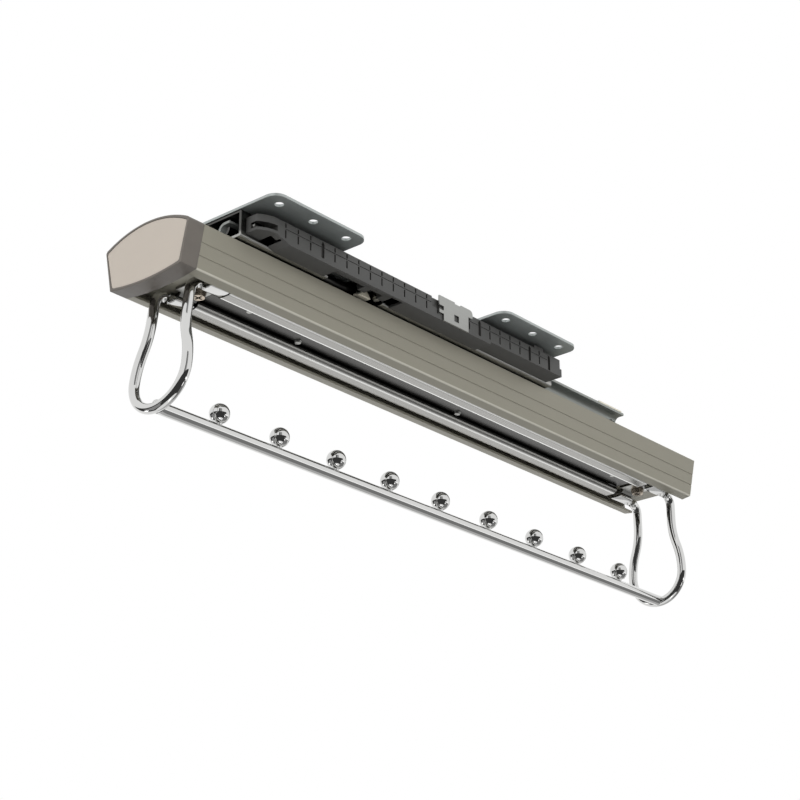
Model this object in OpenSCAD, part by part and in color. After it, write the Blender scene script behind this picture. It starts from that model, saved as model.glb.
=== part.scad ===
// Pull-out clothes rail that hangs under the top shelf of a wardrobe.
// Two sheet plates are screwed to the shelf and carry a fixed rail. A ball-bearing rail
// slides out of it towards the user, and carries an extruded housing, two wire loops and a
// hanging rod. A soft-close unit on the left side pulls the rail in and damps it.
// X runs from the front cap to the rear, Y across the rail and Z up. The origin is the
// centre of the front plate's holes, on its top face. All sizes are in millimetres.

/* [Mounting plates] */
// Sheet thickness of the two plates
plate_t = 1.5; // [1:0.1:2.5]
// Diameter of the fixing holes
hole_d = 5; // [4:0.1:6]
// Distance between neighbouring holes along the rail
hole_pitch = 25; // [18:0.5:28]
// Distance from the rail's side wall out to the row of holes
hole_reach = 17.5; // [16:0.5:22]
// Distance from a hole's centre to the plate's outer edge
hole_edge = 7.5; // [5:0.5:10]
// Distance from the last hole's centre to the plate's end
hole_end = 10; // [6:0.5:14]
// Radius of the plates' corners
plate_corner_r = 7; // [2:0.5:9]
// Distance from the second plate's centre to the fixed rail's rear end
plate_tail = 40.5; // [36:0.5:60]

/* [Fixed rail] */
// Width of the fixed rail
rail_width = 70; // [66:1:80]
// Length of the fixed rail
fixed_length = 260; // [250:1:280]
// Distance from the first plate's centre to the fixed rail's front end
fixed_lead = 34.5; // [30:0.5:40]
// Sheet thickness of both rails
sheet_t = 1.5; // [1.2:0.1:1.8]

/* [Ball bearing] */
// Diameter of the bearing balls
ball_d = 6; // [5:0.1:7]
// Number of balls in each row
ball_count = 8; // [4:1:9]
// Distance between neighbouring balls
ball_pitch = 11.5; // [9:0.1:12]
// Thickness of the ball cages
cage_t = 0.8; // [0.5:0.1:1]

/* [Moving rail] */
// Distance from the moving rail's rear end to the housing's rear end
moving_setback = 71; // [60:1:90]
// Length of the moving rail that stays in the fixed rail when it is pulled out
kept_length = 99; // [95:1:140]

/* [Housing] */
// Length of the housing
housing_length = 441; // [430:1:480]
// Height of the housing
housing_height = 23.2; // [22:0.1:28]
// Wall thickness of the housing
housing_wall = 1.8; // [1.4:0.1:2.4]
// How far each side leans in from its top down to its bottom
housing_lean = 4.8; // [3:0.1:8]
// Width of each lip along the housing's bottom
lip_width = 4.4; // [3:0.1:5]
// Radius of the housing's bottom corners
housing_corner_r = 0.6; // [0.4:0.1:1.4]
// Length of the front cap in front of the housing
cap_length = 11; // [8:0.5:18]
// Height of the cap's domed top above the housing
cap_crown = 8; // [4:0.1:11]
// Width of the dark rim around the cap's plate
cap_rim = 0.8; // [0.6:0.1:4]

/* [Carrier channel] */
// Height of the channel inside the housing
channel_height = 5.5; // [5:0.1:6]
// Sheet thickness of the channel
channel_t = 1.2; // [0.8:0.1:1.4]
// Width of each lip of the channel
channel_lip = 11.6; // [8:0.1:12]

/* [Wire loops and rod] */
// Diameter of the loops' wire
wire_d = 5.6; // [4.5:0.1:6]
// Distance between a loop's legs at the top
leg_span = 26; // [24:0.5:27]
// Distance between a loop's legs at the widest place
loop_width = 37.6; // [34:0.2:46]
// Height from the loop's widest place up to its straight legs
loop_flare = 34; // [24:0.5:50]
// Length of the straight top of each leg
leg_straight = 9.6; // [5:0.1:20]
// Lean of the front loop towards the user
front_lean = 7.2; // [0:0.1:10]
// Diameter of the hanging rod
rod_d = 6.7; // [5:0.1:8]
// Diameter of the balls that keep the hangers apart
spacer_d = 11; // [8:0.5:14]
// Number of those balls
spacer_count = 9; // [5:1:11]
// Distance between neighbouring balls
spacer_pitch = 43.7; // [30:0.1:46]

/* [Soft-close unit] */
// Length of the soft-close case
case_length = 240; // [225:1:245]
// Depth of the case, away from the fixed rail
case_depth = 11.8; // [11:0.1:14]
// Wall thickness of the case
case_wall = 1.6; // [1.2:0.1:1.9]
// Distance that the catch travels with the rail
catch_travel = 22; // [15:1:24]
// Diameter of the damper's cylinder
damper_d = 7.2; // [5:0.1:7.6]
// Diameter of the damper's rod
damper_rod_d = 2.4; // [1.5:0.1:3]

/* [Hidden] */
$fn = 48;

// Overrun of every cut past the faces that it opens
over = 1;
// Gap between pieces that slide past each other
slide_gap = 0.7;
// Gap around a piece that sits in a recess or a cavity
fit_gap = 0.3;
// Gap around a shank in its hole
shank_gap = 0.1;

// Heights of the rails, from the plates' top face down
plate_bottom = -plate_t;
web_bottom = plate_bottom - sheet_t;
lift_gap = 1.2;
flange_top = web_bottom - lift_gap;
flange_bottom = flange_top - sheet_t;
race_gap = 0.3;
race_r = ball_d / 2 + race_gap;
ball_z = flange_bottom - race_r;
hem_gap = 1.2;
rail_bottom = ball_z - race_r - sheet_t - hem_gap - sheet_t;
housing_top = rail_bottom - slide_gap;

// Half widths of the rails, from the middle plane out
rail_half = rail_width / 2;
rail_bend_r = 1;
race_inset = 13;
ball_row = rail_half - race_inset;
web_half = ball_row - race_r;
moving_flange_half = ball_row + ball_d / 2 + slide_gap / 2;
lip_out = ball_row + race_r + sheet_t;

// Places along the rail
fixed_front = -fixed_lead;
fixed_rear = fixed_front + fixed_length;
housing_lead = 21;
housing_front = fixed_front - housing_lead;
housing_rear = housing_front + housing_length;
moving_inset = 22;
moving_front = housing_front + moving_inset;
moving_rear = housing_rear - moving_setback;
pull_out = moving_rear - kept_length - fixed_front;
plate_spacing = fixed_rear - plate_tail;

// Plates
plate_length = 2 * (hole_pitch + hole_end);
hole_row = rail_half + hole_reach;
plate_half = hole_row + hole_edge;
plate_rivet_d = 5;
plate_rivet_head_d = 8;
plate_rivet_head_h = 1.1;
plate_rivet_share = 0.8;
plate_rivet_x = hole_pitch * plate_rivet_share;

// Stop tab that is lanced out of the moving rail's web
tab_length = 3.4;
tab_height = 1.6;
tab_reach = 1.4;
tab_end = 2.2;
tab_slot_height = 2;

// Guide pads
pad_length = 24;

// Housing
housing_inset = 4.2;
housing_half = rail_half - housing_inset;
web_depth = 15.2;
web_t = 1.8;
housing_web_top = housing_top - web_depth;
housing_web_bottom = housing_web_top - web_t;
housing_bottom = housing_top - housing_height;
lip_t = 1.5;
bottom_bow = 2.2;
groove_depth = 0.35;
groove_width = 0.7;
upper_groove_drop = 9.3;
lower_groove_drop = 16.1;
groove_places = [upper_groove_drop, lower_groove_drop];

// Front cap
cap_corner_r = 1.7;
dome_steps = 12;
bow_steps = 6;
cap_shoulder = 1.2;
cap_plate_r = 1.6;
cap_edge = 0.4;
cap_recess = 1.1;
cap_plate_t = 0.9;
cap_plug_depth = 9;
cap_plug_t = 2;

// Ball rows and cages
cage_end = 5;
cage_length = (ball_count - 1) * ball_pitch + 2 * cage_end;
cage_share = 1.3;
cage_half = cage_share * ball_d / 2;
cage_hole_gap = 0.15;
cage_mid = fixed_front + pull_out / 2 + (kept_length - tab_end - tab_length) / 2;

// Channel, saddles and loops
bottom_half = housing_half - housing_lean;
lip_half = bottom_half - housing_wall - lip_width;
channel_gap = 1.2;
channel_half = lip_half - channel_gap;
channel_top = housing_web_bottom;
channel_bottom = channel_top - channel_height;
channel_bend_r = 3.4;
hem_bend_r = 3;
hem_gap_top = 0.6;
saddle_inset = 26;
far_saddle_inset = 22;
front_saddle_x = housing_front + saddle_inset;
rear_saddle_x = housing_rear - far_saddle_inset;
saddle_length = 12;
saddle_neck = 20;
saddle_t = 1.6;
saddle_step = 1.5;
channel_front = front_saddle_x + saddle_length / 2 + slide_gap;
channel_end_gap = 3;
channel_rear = rear_saddle_x - saddle_neck / 2 - channel_end_gap;
rivet_d = 3;
rivet_head_d = 4.8;
rivet_head_h = 1.3;
rivet_face_share = 0.7;
rivet_side = 4.2;
rivet_shares = [[0.07, -1], [0.191, 1], [0.555, 1], [0.945, -1]];
screw_d = 4;
screw_head_d = 8.5;
screw_head_h = 3;
screw_slot = 1.1;
screw_face_share = 0.8;
screw_slot_share = 0.6;
nut_width = 7;
nut_h = 3.2;

paddle_width = 8.4;
paddle_t = 2.4;
paddle_square_share = 0.5;
saddle_bottom = housing_web_bottom - saddle_step - saddle_t;
wire_z = saddle_bottom - paddle_t / 2;
leg_reach = 18;
bend_r = 6.8;
front_leg_x = front_saddle_x - leg_reach;
rear_leg_x = rear_saddle_x + leg_reach;
leg_half = leg_span / 2;
loop_r = loop_width / 2;
flare_out = loop_r - leg_half;
flare_angle = 2 * atan(flare_out / loop_flare);
flare_r = loop_flare / 2 / sin(flare_angle);
wire_sides = 16;
corner_steps = 5;
bend_steps = 7;
flare_steps = 5;
loop_steps = 9;
blend_steps = 4;
leg_top = wire_z - bend_r;
wide_drop = leg_straight + loop_flare;
loop_drop = wide_drop + loop_r;
function leg_drop(lean) = (loop_drop + bend_r * sin(lean)) / cos(lean);
rod_lift = 0.8;
weld_gap = 0.25;
rod_drop = loop_drop - rod_lift;
rod_z = leg_top - rod_drop;
front_rod_x = front_leg_x + bend_r * (1 - cos(front_lean)) - leg_drop(front_lean) * sin(front_lean);
rod_mid = (front_rod_x + rear_leg_x) / 2;
stud_d = 3;
stud_depth = 2.5;
stud_gap = 0.45;
spacer_z = rod_z + rod_d / 2 + stud_gap + spacer_d / 2;

// Striker on the moving rail, seen through the window in the fixed rail
striker_x = 63;
striker_t = 3.8;
striker_in = lip_out + slide_gap;
striker_out = striker_in + striker_t;
striker_mid = (striker_in + striker_out) / 2;
striker_width = 9.6;
striker_stem = 2;
striker_head_d = 3.2;
striker_head_h = 0.9;
striker_shares = [[0, 1], [0.24, 1], [0.24, 0.66], [0.34, 0.58], [1, 0.1], [1, 0], [0, 0]];
striker_bottom = rail_bottom + sheet_t + fit_gap;
arm_length = 11;
arm_t = sheet_t;
arm_bottom = flange_bottom - arm_t;

// Soft-close case on the left side of the fixed rail
case_front = -20;
case_rear = case_front + case_length;
case_in = rail_half;
case_out = case_in + case_depth;
case_drop = 3.9;
case_sag = 0.8;
case_top = plate_bottom - case_drop;
case_bottom = rail_bottom - case_sag;
case_step_setback = 67;
case_step_x = case_rear - case_step_setback;
case_step_z = 1.5;
case_rear_bottom = case_bottom + case_step_z;
case_chamfer_x = 9.5;
case_chamfer_z = 3;
tail_length = 11;
tail_drop = 5.6;
tail_step = 1.6;
lug_setback = 26;
lug_x = case_rear - lug_setback;
lug_length = 8.5;
lug_h = 1.8;
lug_t = 3;
nose_length = 11;
nose_r = 15.8;
nose_h = 4.1;
nose_wall = 4.2;
nose_rivet = 7;
shelf_lift = 3;
shelf_h = 1.6;
nose_levels = [[case_bottom + shelf_lift, shelf_h], [case_top - nose_h, nose_h]];
neck_depth = 3.2;
panel_pitch = 9.25;
panel_groove = 1.1;
panel_depth = 0.8;
panel_rows = [[0.7, 3.2], [4.6, 9]];
panel_line = 0.4;
panel_line_drop = 3.9;
slot_width = 2.2;
slot_depth = 1.2;
slot_drop = 1.4;
slot_lift = 2;
panel_column = 33.5;
first_column = -3;
last_column = 21;
slot_columns = [0, 14, 19, 21];
case_rivet_d = 3.2;
case_rivet_head_d = 6.2;
case_rivet_head_h = 2;
case_rivet_tail_h = 0.7;
case_rivet_drop = 1.4;
case_rivet_z = ball_z - case_rivet_drop;
case_rivet_tail_share = 1.5;
case_post_d = 6.4;

// Catch that grips the striker, and the window that it moves in
fork_width = 4.4;
fork_t = 1.1;
prong_gap = 0.8;
release_gap = 0.4;
prong_in = striker_out + release_gap;
catch_half = striker_width / 2 + prong_gap + fork_width;
window_front = striker_x - catch_half - catch_travel - slide_gap;
window_rear = striker_x + catch_half + slide_gap;
window_rise = 3.4;
window_top = ball_z + window_rise;
case_window_lead = 4;
case_window_front = window_front - case_window_lead;
case_window_tail = 5;
case_window_rear = window_rear + case_window_tail;
catch_in = case_in + fit_gap;
catch_out = case_out - case_wall - fit_gap;
catch_top = case_top - case_wall - fit_gap;
catch_bottom = case_bottom + case_wall + fit_gap;
catch_mid = (catch_in + catch_out) / 2;

// Damper, whose cylinder rides with the catch over a rod held in the case
damper_length = 38;
damper_y = case_out - case_wall - damper_d / 2 - fit_gap;
damper_z = case_bottom + case_wall + damper_d / 2 + fit_gap;
damper_rear = striker_x - catch_half;
damper_front = damper_rear - damper_length;
anchor_t = 3;
anchor_x = damper_front - catch_travel - slide_gap - anchor_t;
damper_gap = 0.08;
damper_bore = damper_rod_d + 2 * damper_gap;
rod_engaged = 8;
rod_head_d = 4.4;
rod_head_t = 1.2;

// Spring between the catch and a post in the case
spring_d = 5;
spring_front = striker_x + catch_half + fit_gap;
spring_setback = 76.7;
spring_length = case_rear - spring_setback - spring_front;
spring_hook = 3;
spring_wire = 1;
post_d = 3;
post_x = spring_front + spring_length + spring_hook;

// Clip that wraps around the case
clip_front = 110.5;
clip_width = 21.5;
clip_t = 0.9;
clip_rise = 2.4;
clip_recess = 9.3;
clip_recess_h = 6;
clip_corner_r = 2.6;
clip_hole = 4;
clip_ear = 3.8;
clip_ear_h = 5.8;
clip_tab_top = 8.4;
clip_tab_h = 2;
clip_rear_ear_h = 5;
clip_hole_share = 0.42;
clip_hole_lift = 2.6;
clip_notch_share = 0.45;
clip_notch_end_share = 0.7;

// Colours
zinc = [0.60, 0.61, 0.60];
dark_zinc = [0.33, 0.36, 0.36];
chrome = [0.80, 0.80, 0.80];
anodised = [0.55, 0.54, 0.49];
dark_plastic = [0.20, 0.20, 0.20];
cap_colour = [0.42, 0.39, 0.36];
beige = [0.75, 0.70, 0.65];
brass = [0.74, 0.64, 0.50];
cream = [0.86, 0.83, 0.72];

// Points of an arc about c
function arc(c, r, a0, a1, steps) =
    [for (i = [0 : steps]) c + r * [cos(a0 + (a1 - a0) * i / steps), sin(a0 + (a1 - a0) * i / steps)]];

// Arc of radius r that rounds the corner b between a and c
function corner(a, b, c, r) =
    let (
        u = (a - b) / norm(a - b),
        v = (c - b) / norm(c - b),
        half = acos(u * v) / 2,
        centre = b + (u + v) / norm(u + v) * r / sin(half),
        p = b + u * r / tan(half) - centre,
        q = b + v * r / tan(half) - centre,
        turn = atan2(p[0] * q[1] - p[1] * q[0], p * q)
    )
    arc(centre, r, atan2(p[1], p[0]), atan2(p[1], p[0]) + turn, corner_steps);

// Closed path of points with a radius each, rounded where that is not zero
function rounded(path) =
    let (n = len(path), flat = [for (p = path) [p[0], p[1]]])
    [for (i = [0 : n - 1])
        each path[i][2] > 0
            ? corner(flat[(i + n - 1) % n], flat[i], flat[(i + 1) % n], path[i][2])
            : [flat[i]]];

// A right-hand path in Y and Z, closed by its mirror image
function mirrored(right) =
    concat(right, [for (i = [len(right) - 1 : -1 : 0]) [-right[i][0], right[i][1], right[i][2]]]);

// Extrudes a profile drawn in Y and Z along the rail
module along_x(x0, x1) {
    translate([x0, 0, 0]) rotate([90, 0, 90]) linear_extrude(x1 - x0) children();
}

// A box between two corners
module span(low, high) {
    translate(low) cube(high - low);
}

// A shape and its mirror image across the middle plane
module both_sides() {
    children();
    mirror([0, 1, 0]) children();
}

module both_halves() {
    children();
    mirror([1, 0]) children();
}

// Puts a shape drawn on the right onto the left side, where the soft-close unit is
module on_left() {
    mirror([0, 1, 0]) children();
}

module rod_x(d, x0, x1) {
    translate([x0, 0, 0]) rotate([0, 90, 0]) cylinder(d = d, h = x1 - x0);
}

module rod_y(d, y0, y1) {
    translate([0, y0, 0]) rotate([-90, 0, 0]) cylinder(d = d, h = y1 - y0);
}

// Quarter of a sheet ring about the ball row, for the rails' races
module race_quarter(a0) {
    intersection() {
        difference() {
            circle(r = race_r + sheet_t);
            circle(r = race_r);
        }
        rotate(a0) square(race_r + sheet_t + over);
    }
}

// Mounting plates
module plate(x) {
    translate([x, 0, plate_bottom]) difference() {
        linear_extrude(plate_t) difference() {
            square([plate_length, 2 * plate_half], center = true);
            for (sx = [-1, 1], sy = [-1, 1])
                translate([sx * (plate_length / 2 - plate_corner_r), sy * (plate_half - plate_corner_r)])
                    difference() {
                        translate([sx > 0 ? 0 : -plate_corner_r - over, sy > 0 ? 0 : -plate_corner_r - over])
                            square(plate_corner_r + over);
                        circle(r = plate_corner_r);
                    }
        }
        for (i = [-1 : 1], s = [-1, 1])
            translate([i * hole_pitch, s * hole_row, -over]) cylinder(d = hole_d, h = plate_t + 2 * over);
        for (s = [-1, 1])
            translate([s * plate_rivet_x, 0, -over])
                cylinder(d = plate_rivet_d + 2 * shank_gap, h = plate_t + 2 * over);
    }
}

module front_plate() {
    color(dark_zinc) plate(0);
}

module rear_plate() {
    color(dark_zinc) plate(plate_spacing);
}

// Rivets that join the plates to the fixed rail, flush with the plates' top
module plate_rivets() {
    color(zinc) for (x = [0, plate_spacing], s = [-1, 1]) translate([x + s * plate_rivet_x, 0, 0]) {
        translate([0, 0, web_bottom]) cylinder(d = plate_rivet_d, h = -web_bottom);
        translate([0, 0, web_bottom - plate_rivet_head_h])
            cylinder(d = plate_rivet_head_d, h = plate_rivet_head_h);
    }
}

// Half profile of the fixed rail: web, side wall, bottom flange and the race folded up from it
module fixed_half() {
    polygon(rounded([
        [0, plate_bottom, 0], [0, web_bottom, 0], [rail_half - sheet_t, web_bottom, 0],
        [rail_half - sheet_t, rail_bottom + sheet_t, 0], [ball_row, rail_bottom + sheet_t, 0],
        [ball_row, ball_z - race_r, 0], [ball_row - sheet_t, ball_z - race_r, 0],
        [ball_row - sheet_t, rail_bottom, 0], [rail_half, rail_bottom, rail_bend_r],
        [rail_half, plate_bottom, rail_bend_r]
    ]));
    translate([ball_row, ball_z]) race_quarter(-90);
}

module fixed_rail() {
    color(zinc) difference() {
        along_x(fixed_front, fixed_rear) both_halves() fixed_half();
        for (x = [0, plate_spacing], s = [-1, 1])
            translate([x + s * plate_rivet_x, 0, web_bottom - over])
                cylinder(d = plate_rivet_d + 2 * shank_gap, h = sheet_t + 2 * over);
        on_left() {
            span([window_front, lip_out, rail_bottom - over],
                 [window_rear, rail_half + over, window_top]);
            for (x = case_rivet_places) translate([x, 0, case_rivet_z])
                rod_y(case_rivet_d + 2 * shank_gap, rail_half - sheet_t - over, rail_half + over);
        }
    }
}

// Half profile of the moving rail: base on the housing's web, web, race and top flange
module moving_half() {
    translate([0, housing_web_top]) square([web_half, sheet_t]);
    translate([web_half - sheet_t, housing_web_top]) square([sheet_t, ball_z - housing_web_top]);
    translate([ball_row, ball_z]) race_quarter(90);
    translate([ball_row, flange_bottom]) square([moving_flange_half - ball_row, sheet_t]);
}

module moving_rail() {
    color(zinc) difference() {
        union() {
            along_x(moving_front, moving_rear) both_halves() moving_half();
            both_sides() span(
                [moving_rear - tab_end - tab_length, web_half - sheet_t / 2, ball_z],
                [moving_rear - tab_end, web_half + tab_reach, ball_z + tab_height / 2]);
        }
        both_sides() span(
            [moving_rear - tab_end - tab_length, web_half - sheet_t - over, ball_z - tab_slot_height],
            [moving_rear - tab_end, web_half + over, ball_z]);
        for (p = rivet_places) if (p[0] < moving_rear)
            translate([p[0], p[1], housing_web_top - over])
                cylinder(d = rivet_d + 2 * shank_gap, h = sheet_t + 2 * over);
        translate([front_saddle_x, 0, housing_web_top - over])
            cylinder(d = screw_d + 2 * shank_gap, h = sheet_t + 2 * over);
    }
}

// Pads that keep the moving rail's rear end down under the fixed rail's web
module guide_pads() {
    color(cream) both_sides() span(
        [moving_rear - pad_length - tab_end, ball_row, flange_top],
        [moving_rear - tab_end, moving_flange_half, web_bottom - fit_gap]);
}

// Rivets through channel and housing, and through the moving rail where it lies above them
rivet_places = [for (s = rivet_shares)
    [channel_front + (channel_rear - channel_front) * s[0], rivet_side * s[1]]];
function rivet_top(p) = p[0] < moving_rear ? housing_web_top + sheet_t : housing_web_top;

// Half width of the housing at a depth below its top, and the bow of its underside
function side_y(depth) = housing_half - housing_lean * depth / housing_height;
function bow(share) = bottom_bow * (share * share - 1);

// Right half of the housing's outline, with the fine grooves along its side
function groove(d) = [
    [side_y(d - groove_width / 2), housing_top - d + groove_width / 2, 0],
    [side_y(d) - groove_depth, housing_top - d, 0],
    [side_y(d + groove_width / 2), housing_top - d - groove_width / 2, 0]
];
function lip_point(y, rise) = [y, housing_bottom + bow(y / bottom_half) + rise, 0];
function housing_outline() = concat(
    [[side_y(web_depth) - housing_wall, housing_web_top, 0]],
    [[side_y(0) - housing_wall, housing_top, 0], [side_y(0), housing_top, 0]],
    [for (d = groove_places, p = groove(d)) p],
    [
        [bottom_half, housing_bottom, housing_corner_r],
        lip_point((bottom_half + lip_half) / 2, 0), lip_point(lip_half, 0), lip_point(lip_half, lip_t),
        lip_point(side_y(housing_height - lip_t) - housing_wall, lip_t),
        [side_y(web_depth + web_t) - housing_wall, housing_web_bottom, 0]
    ]);

module housing() {
    color(anodised) difference() {
        along_x(housing_front, housing_rear) polygon(rounded(mirrored(housing_outline())));
        for (p = rivet_places)
            translate([p[0], p[1], housing_web_bottom - over])
                cylinder(d = rivet_d + 2 * shank_gap, h = web_t + 2 * over);
        for (x = [front_saddle_x, rear_saddle_x])
            translate([x, 0, housing_web_bottom - over])
                cylinder(d = screw_d + 2 * shank_gap, h = web_t + 2 * over);
    }
}

// Outline of the cap, drawn in by m: domed top, leaning sides, bowed bottom, bottom corners of r
function cap_outline(m, r) =
    let (
        half = side_y(0) - m,
        low = bottom_half - m,
        crown = cap_crown - cap_shoulder,
        shoulder = half - cap_corner_r,
        dome_r = (shoulder * shoulder + crown * crown) / (2 * crown),
        dome_a = asin(shoulder / dome_r),
        peak = housing_top + cap_crown - m,
        right = concat(
            [for (p = arc([0, peak - dome_r], dome_r, 90, 90 - dome_a, dome_steps)) [p[0], p[1], 0]],
            [[half, peak - crown - cap_corner_r * tan(dome_a), cap_corner_r], [low, housing_bottom + m, r]],
            [for (i = [bow_steps - 1 : -1 : 0]) let (t = i / bow_steps)
                [low * t, housing_bottom + m + bow(t), 0]])
    )
    rounded(concat(right, [for (i = [len(right) - 2 : -1 : 1]) [-right[i][0], right[i][1], right[i][2]]]));

module front_cap() {
    x0 = housing_front - cap_length;
    color(cap_colour) {
        difference() {
            union() {
                along_x(x0 + cap_edge, housing_front) polygon(cap_outline(0, housing_corner_r));
                hull() {
                    along_x(x0, x0 + cap_edge / 2) polygon(cap_outline(cap_edge, housing_corner_r));
                    along_x(x0 + cap_edge / 2, x0 + cap_edge) polygon(cap_outline(0, housing_corner_r));
                }
            }
            along_x(x0 - over, x0 + cap_recess) polygon(cap_outline(cap_edge + cap_rim, cap_plate_r));
        }
        along_x(housing_front, housing_front + cap_plug_depth) difference() {
            translate([-bottom_half + cap_plug_t, housing_web_top + fit_gap])
                square([2 * (bottom_half - cap_plug_t), web_depth - cap_plug_t]);
            translate([-bottom_half + 2 * cap_plug_t, housing_web_top + fit_gap + cap_plug_t])
                square([2 * (bottom_half - 2 * cap_plug_t), web_depth]);
        }
    }
}

module cap_plate() {
    x0 = housing_front - cap_length + cap_recess;
    color(beige) along_x(x0 - cap_plate_t, x0)
        polygon(cap_outline(cap_edge + cap_rim + fit_gap / 2, cap_plate_r - fit_gap / 2));
}

// Ball rows
module balls() {
    for (i = [0 : ball_count - 1])
        translate([cage_mid + (i - (ball_count - 1) / 2) * ball_pitch, ball_row, ball_z])
            sphere(d = ball_d);
}

module cage() {
    translate([cage_mid, ball_row, ball_z]) rotate([45, 0, 0]) difference() {
        cube([cage_length, 2 * cage_half, cage_t], center = true);
        for (i = [0 : ball_count - 1])
            translate([(i - (ball_count - 1) / 2) * ball_pitch, 0, 0])
                cylinder(d = ball_d + 2 * cage_hole_gap, h = cage_t + 2 * over, center = true);
    }
}

module left_balls() {
    color(chrome) on_left() balls();
}

module right_balls() {
    color(chrome) balls();
}

module left_cage() {
    color(brass) on_left() cage();
}

module right_cage() {
    color(brass) cage();
}

// Channel that is riveted under the housing's web, its bottom edges rolled in and up again
module carrier_channel() {
    inner = channel_half - channel_lip;
    hem_top = channel_top - channel_t - hem_gap_top;
    color(zinc) difference() {
        along_x(channel_front, channel_rear) polygon(rounded(mirrored([
            [channel_half, channel_top, channel_t + fit_gap],
            [channel_half, channel_bottom, channel_bend_r],
            [inner, channel_bottom, hem_bend_r],
            [inner, hem_top, 0],
            [inner + channel_t, hem_top, 0],
            [inner + channel_t, channel_bottom + channel_t, hem_bend_r - channel_t],
            [channel_half - channel_t, channel_bottom + channel_t, channel_bend_r - channel_t],
            [channel_half - channel_t, channel_top - channel_t, fit_gap]
        ])));
        for (p = rivet_places)
            translate([p[0], p[1], channel_top - channel_t - over])
                cylinder(d = rivet_d + 2 * shank_gap, h = channel_t + 2 * over);
    }
}

module channel_rivets() {
    bottom = channel_top - channel_t;
    face = rivet_head_d * rivet_face_share;
    color(zinc) for (p = rivet_places) translate([p[0], p[1], 0]) {
        translate([0, 0, bottom]) cylinder(d = rivet_d, h = rivet_top(p) - bottom);
        translate([0, 0, bottom - rivet_head_h]) cylinder(d1 = face, d2 = rivet_head_d, h = rivet_head_h);
        translate([0, 0, rivet_top(p)]) cylinder(d1 = rivet_head_d, d2 = face, h = rivet_head_h);
    }
}

// Saddle plate: flat middle against the housing, ears stepped down to the loop's flattened ends
module saddle(x) {
    ear_half = leg_half + paddle_width / 2;
    ear_in = leg_half - paddle_width / 2;
    flat = ear_in - saddle_step;
    top = housing_web_bottom;
    translate([x, 0, 0]) difference() {
        union() {
            along_x(-saddle_length / 2, saddle_length / 2) both_halves() polygon([
                [0, top], [flat, top], [ear_in, top - saddle_step], [ear_half, top - saddle_step],
                [ear_half, saddle_bottom], [ear_in - saddle_t / 2, saddle_bottom],
                [flat - saddle_t / 2, top - saddle_t], [0, top - saddle_t]
            ]);
            span([-saddle_neck / 2, -flat + saddle_t / 2, top - saddle_t],
                 [saddle_length / 2, flat - saddle_t / 2, top]);
        }
        translate([0, 0, top - saddle_t - over])
            cylinder(d = screw_d + 2 * shank_gap, h = saddle_t + 2 * over);
    }
}

module front_saddle() {
    color(zinc) saddle(front_saddle_x);
}

module rear_saddle() {
    color(zinc) saddle(rear_saddle_x);
}

// Cross-recessed pan-head screws that hold the saddles, and their nuts
module saddle_screws() {
    head_top = housing_web_bottom - saddle_t;
    stack = [[front_saddle_x, housing_web_top + sheet_t], [rear_saddle_x, housing_web_top]];
    color(brass) for (s = stack) translate([s[0], 0, 0]) difference() {
        union() {
            translate([0, 0, head_top]) cylinder(d = screw_d, h = s[1] + nut_h - head_top);
            translate([0, 0, head_top - screw_head_h])
                cylinder(d1 = screw_head_d * screw_face_share, d2 = screw_head_d, h = screw_head_h);
        }
        for (a = [0, 90]) rotate(a)
            translate([-screw_head_d * screw_slot_share / 2, -screw_slot / 2,
                       head_top - screw_head_h - over])
                cube([screw_head_d * screw_slot_share, screw_slot, screw_head_h / 2 + over]);
    }
}

module saddle_nuts() {
    stack = [[front_saddle_x, housing_web_top + sheet_t], [rear_saddle_x, housing_web_top]];
    color(zinc) for (s = stack) translate([s[0], 0, s[1]]) difference() {
        cylinder(d = nut_width / cos(30), h = nut_h, $fn = 6);
        translate([0, 0, -over]) cylinder(d = screw_d + 2 * shank_gap, h = nut_h + 2 * over);
    }
}

// Stations along half of a loop, from its flattened end to its lowest point: place,
// direction, normal, half width, half height and the squareness of the section
function loop_stations(lean) =
    let (
        flat_end = leg_reach + saddle_length / 2,
        flat_start = leg_reach - saddle_length / 2,
        down = [-sin(lean), 0, -cos(lean)],
        normal = cross(down, [0, 1, 0]),
        heel = [bend_r * (1 - cos(lean)), 0, -bend_r * (1 - sin(lean))],
        straight = leg_straight + leg_drop(lean) - loop_drop,
        wide = straight + loop_flare,
        r = wire_d / 2
    )
    concat(
        [for (x = [flat_end, flat_start - fit_gap])
            [[x, leg_half, 0], [-1, 0, 0], [0, 0, 1], paddle_width / 2, paddle_t / 2, paddle_square_share]],
        [for (i = [1 : blend_steps]) let (t = i / blend_steps)
            [[flat_start - fit_gap - paddle_t * t, leg_half, 0], [-1, 0, 0], [0, 0, 1],
             paddle_width / 2 * (1 - t) + r * t, paddle_t / 2 * (1 - t) + r * t,
             paddle_square_share * (1 - t) + t]],
        [for (i = [0 : bend_steps]) let (a = (90 - lean) * i / bend_steps)
            [[bend_r * (1 - sin(a)), leg_half, -bend_r * (1 - cos(a))], [-cos(a), 0, -sin(a)],
             cross([-cos(a), 0, -sin(a)], [0, 1, 0]), r, r, 1]],
        [for (i = [0 : flare_steps]) let (a = flare_angle * i / flare_steps)
            leg_station(heel, down, normal, leg_half + flare_r * (1 - cos(a)),
                straight + flare_r * sin(a), sin(a), cos(a), r)],
        [for (i = [flare_steps - 1 : -1 : 0]) let (a = flare_angle * i / flare_steps)
            leg_station(heel, down, normal, loop_r - flare_r * (1 - cos(a)),
                wide - flare_r * sin(a), sin(a), cos(a), r)],
        [for (i = [1 : loop_steps]) let (a = 90 * i / loop_steps)
            leg_station(heel, down, normal, loop_r * cos(a), wide + loop_r * sin(a), -sin(a), cos(a), r)]
    );
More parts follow.
